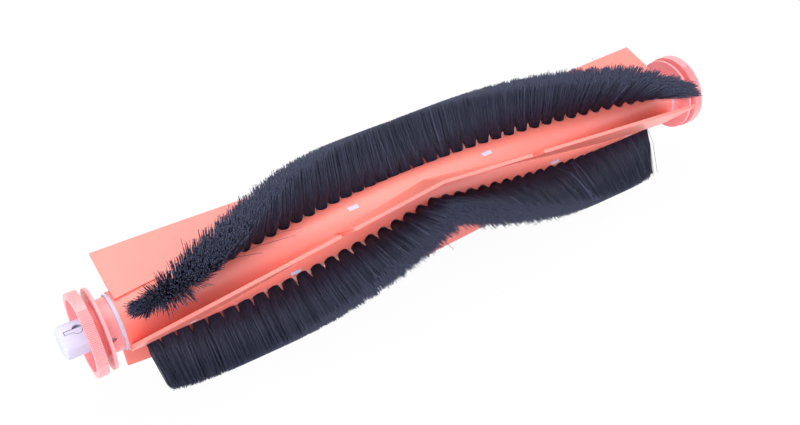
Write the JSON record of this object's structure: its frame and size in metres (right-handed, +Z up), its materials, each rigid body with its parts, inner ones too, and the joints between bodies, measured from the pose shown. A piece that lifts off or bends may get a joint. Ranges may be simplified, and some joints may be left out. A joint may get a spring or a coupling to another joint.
{
  "type": "robot vacuum brush roller",
  "caption": "Long brush roller for a robot vacuum: chevron rows of black tufts between soft coral blades, a twist-off flanged cap at each end and a white square drive peg.",
  "frame": {"origin": "on the roller's axis, in the plane of the drive ring's outer face, where the square peg starts", "axes": "+X along the axis towards the idler end, +Z up as the roller lies on its bristles"},
  "size_m": [0.2028, 0.046, 0.0459],
  "materials": {
    "white_core_plastic": "moulded white polypropylene",
    "coral_soft_sleeve": "soft overmoulded coral elastomer, satin",
    "coral_cap_plastic": "moulded coral plastic, satin",
    "black_nylon_bristle": "crimped black nylon filaments",
    "anchor_wire": "drawn flat wire",
    "bearing_steel": "ground bearing steel",
    "ball_steel": "polished balls",
    "cage_steel": "pressed steel sheet"
  },
  "bodies": {
    "roller": {"roller_core": "white_core_plastic", "blade_sleeve": "coral_soft_sleeve", "bristle_row_a_drive": "black_nylon_bristle", "bristle_row_a_idler": "black_nylon_bristle", "bristle_row_b_drive": "black_nylon_bristle", "bristle_row_b_idler": "black_nylon_bristle", "bristle_row_c_drive": "black_nylon_bristle", "bristle_row_c_idler": "black_nylon_bristle", "tuft_anchors_a_drive": "anchor_wire", "tuft_anchors_a_idler": "anchor_wire", "tuft_anchors_b_drive": "anchor_wire", "tuft_anchors_b_idler": "anchor_wire", "tuft_anchors_c_drive": "anchor_wire", "tuft_anchors_c_idler": "anchor_wire"},
    "drive_cap": {"drive_end_cap": "coral_cap_plastic"},
    "idler_cap": {"idler_end_cap": "coral_cap_plastic", "bearing_outer_ring": "bearing_steel", "bearing_shield_inner": "cage_steel", "bearing_shield_outer": "cage_steel"},
    "bearing_race": {"bearing_inner_ring": "bearing_steel"},
    "bearing_train": {"bearing_balls": "ball_steel", "bearing_cage": "cage_steel"}
  },
  "joints": [
    {"name": "drive_cap_twist", "type": "hinge", "parent": "roller", "child": "drive_cap", "pos_m": [0, 0, 0], "axis": [1, 0, 0], "range_deg": [0, 45]},
    {"name": "idler_cap_twist", "type": "hinge", "parent": "roller", "child": "idler_cap", "pos_m": [0.1975, 0, 0], "axis": [1, 0, 0], "range_deg": [0, 45]},
    {"name": "bearing_spin", "type": "hinge", "parent": "idler_cap", "child": "bearing_race", "pos_m": [0.1951, 0, 0], "axis": [1, 0, 0], "continuous": true},
    {"name": "train_spin", "type": "hinge", "parent": "idler_cap", "child": "bearing_train", "pos_m": [0.1951, 0, 0], "axis": [1, 0, 0], "continuous": true}
  ],
  "couplings": [
    {"joint": "train_spin", "follows": "bearing_spin", "ratio": 0.3733}
  ]
}
